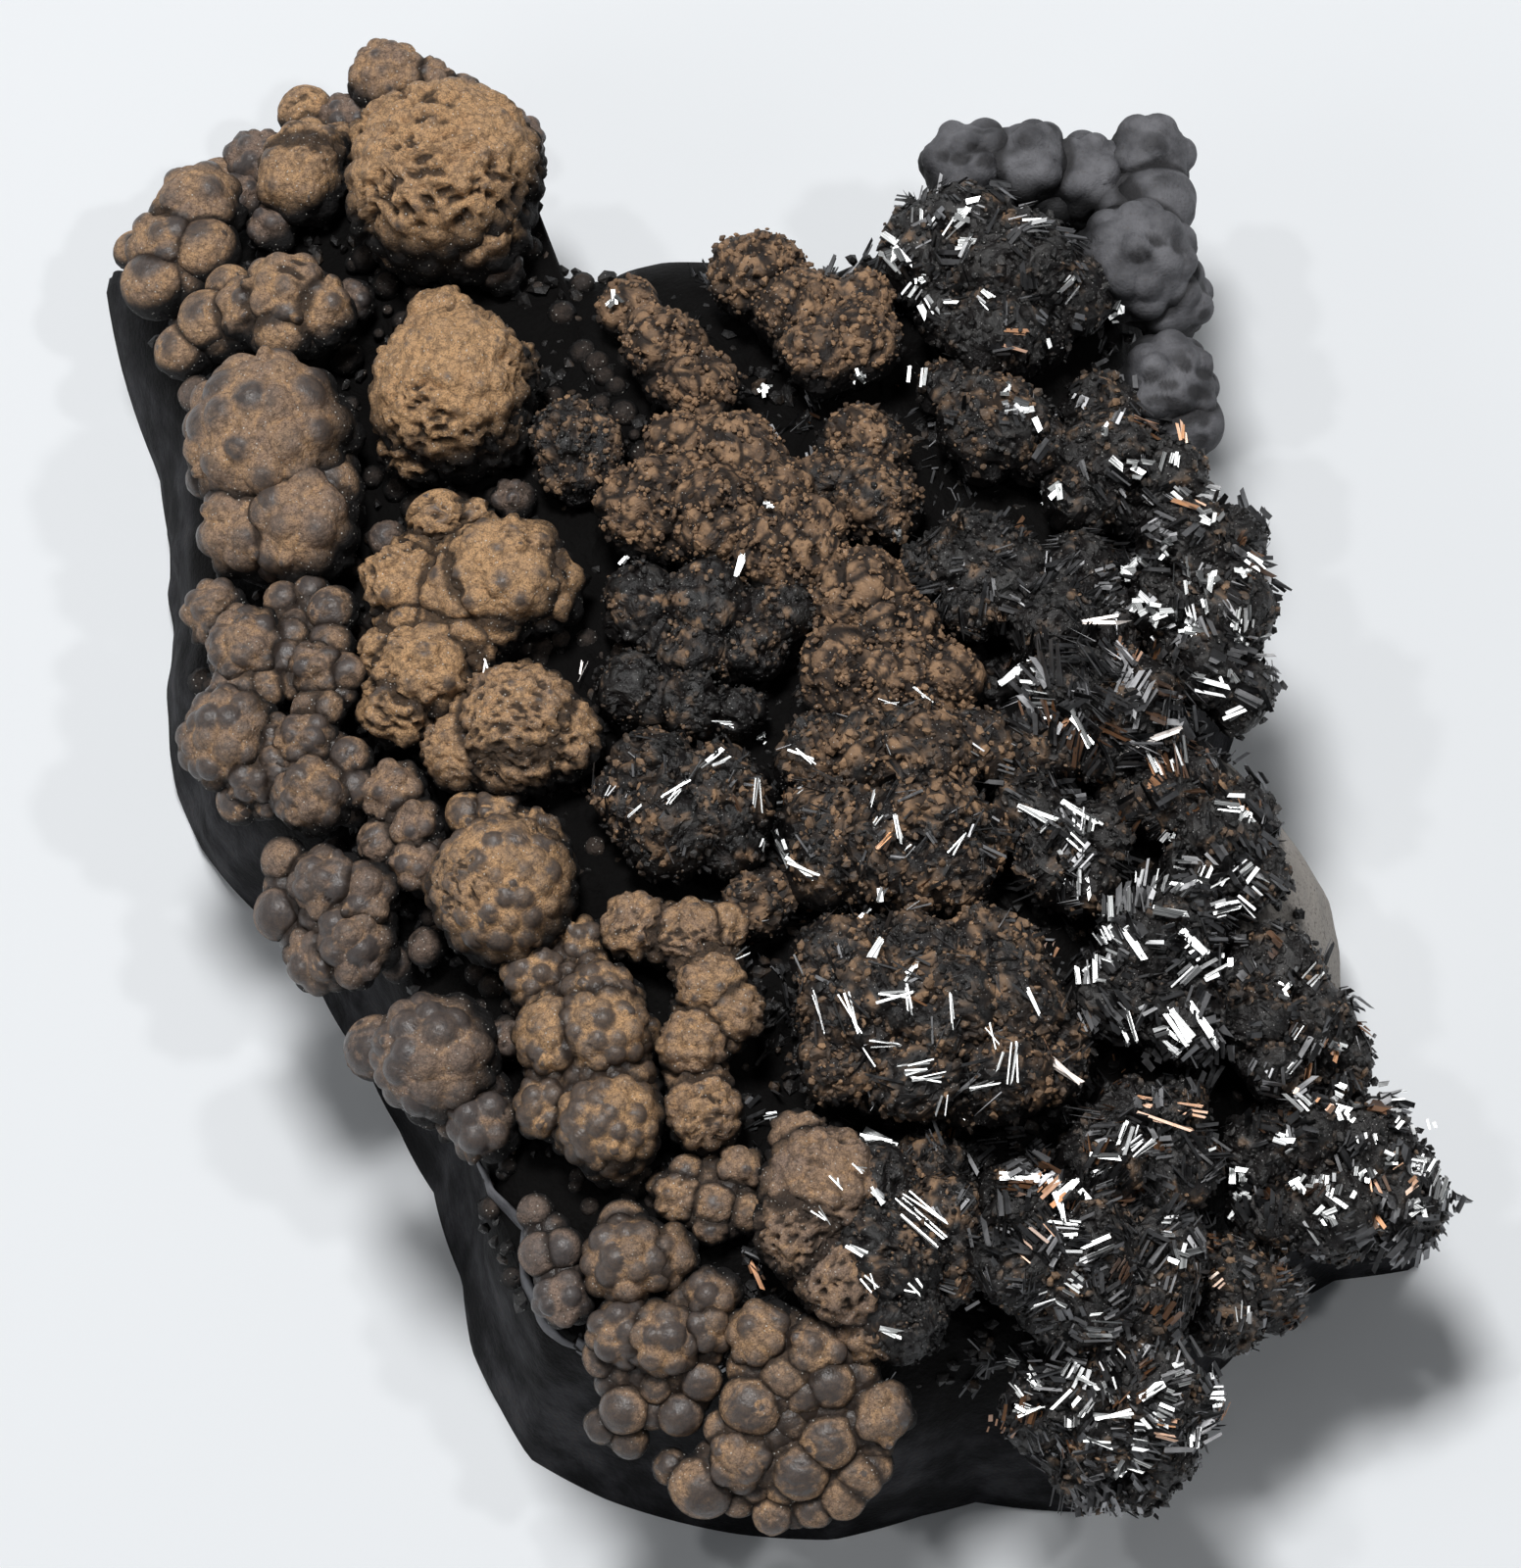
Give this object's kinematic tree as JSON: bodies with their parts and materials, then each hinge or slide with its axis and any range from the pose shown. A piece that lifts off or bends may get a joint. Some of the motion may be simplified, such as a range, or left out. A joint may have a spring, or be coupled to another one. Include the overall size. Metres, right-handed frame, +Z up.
{
  "type": "pyrolusite_with_romanechite_specimen",
  "caption": "Mineral specimen: brown velvety romanechite nodules and black bladed pyrolusite on a dark matrix slab, lying on its flat back",
  "frame": {"origin": "middle of the specimen's bounding box, at the height of the flat back it lies on", "axes": "+Z up out of the decorated face, +Y towards the far end that the picture shows at the top, +X to the right of the picture"},
  "size_m": [0.0698, 0.0824, 0.0264],
  "materials": {
    "matrix": "matte",
    "romanechite": "velvety brown with glossy dark nodule tops",
    "pyrolusite": "metallic black with bright cleavage faces"
  },
  "bodies": {
    "root": {"matrix": "matrix", "romanechite_cluster_01": "romanechite", "romanechite_cluster_02": "romanechite", "romanechite_cluster_03": "romanechite", "romanechite_cluster_04": "romanechite", "romanechite_cluster_05": "romanechite", "romanechite_cluster_06": "romanechite", "romanechite_cluster_07": "romanechite", "romanechite_cluster_08": "romanechite", "romanechite_cluster_09": "romanechite", "romanechite_cluster_10": "romanechite", "romanechite_cluster_11": "romanechite", "romanechite_cluster_12": "romanechite", "romanechite_cluster_13": "romanechite", "romanechite_cluster_14": "romanechite", "romanechite_cluster_15": "romanechite", "romanechite_cluster_16": "romanechite", "romanechite_cluster_17": "romanechite", "romanechite_cluster_18": "romanechite", "romanechite_cluster_19": "romanechite", "romanechite_cluster_20": "romanechite", "romanechite_cluster_21": "romanechite", "romanechite_cluster_22": "romanechite", "romanechite_cluster_23": "romanechite", "romanechite_cluster_24": "romanechite", "romanechite_cluster_25": "romanechite", "romanechite_cluster_26": "romanechite", "romanechite_cluster_27": "romanechite", "romanechite_cluster_28": "romanechite", "romanechite_cluster_29": "romanechite", "romanechite_cluster_30": "romanechite", "romanechite_knobs_01": "romanechite", "romanechite_knobs_02": "romanechite", "romanechite_knobs_03": "romanechite", "pyrolusite_cluster_01": "pyrolusite", "pyrolusite_cluster_02": "pyrolusite", "pyrolusite_cluster_03": "pyrolusite", "pyrolusite_cluster_04": "pyrolusite", "pyrolusite_cluster_05": "pyrolusite", "pyrolusite_cluster_06": "pyrolusite", "pyrolusite_cluster_07": "pyrolusite", "pyrolusite_cluster_08": "pyrolusite", "pyrolusite_cluster_09": "pyrolusite", "pyrolusite_cluster_10": "pyrolusite", "pyrolusite_cluster_11": "pyrolusite", "pyrolusite_cluster_12": "pyrolusite", "pyrolusite_cluster_13": "pyrolusite", "pyrolusite_cluster_14": "pyrolusite", "pyrolusite_cluster_15": "pyrolusite", "pyrolusite_cluster_16": "pyrolusite", "pyrolusite_cluster_17": "pyrolusite", "pyrolusite_cluster_18": "pyrolusite", "pyrolusite_cluster_19": "pyrolusite", "pyrolusite_cluster_20": "pyrolusite", "pyrolusite_cluster_21": "pyrolusite", "pyrolusite_cluster_22": "pyrolusite", "pyrolusite_cluster_23": "pyrolusite"}
  },
  "joints": []
}
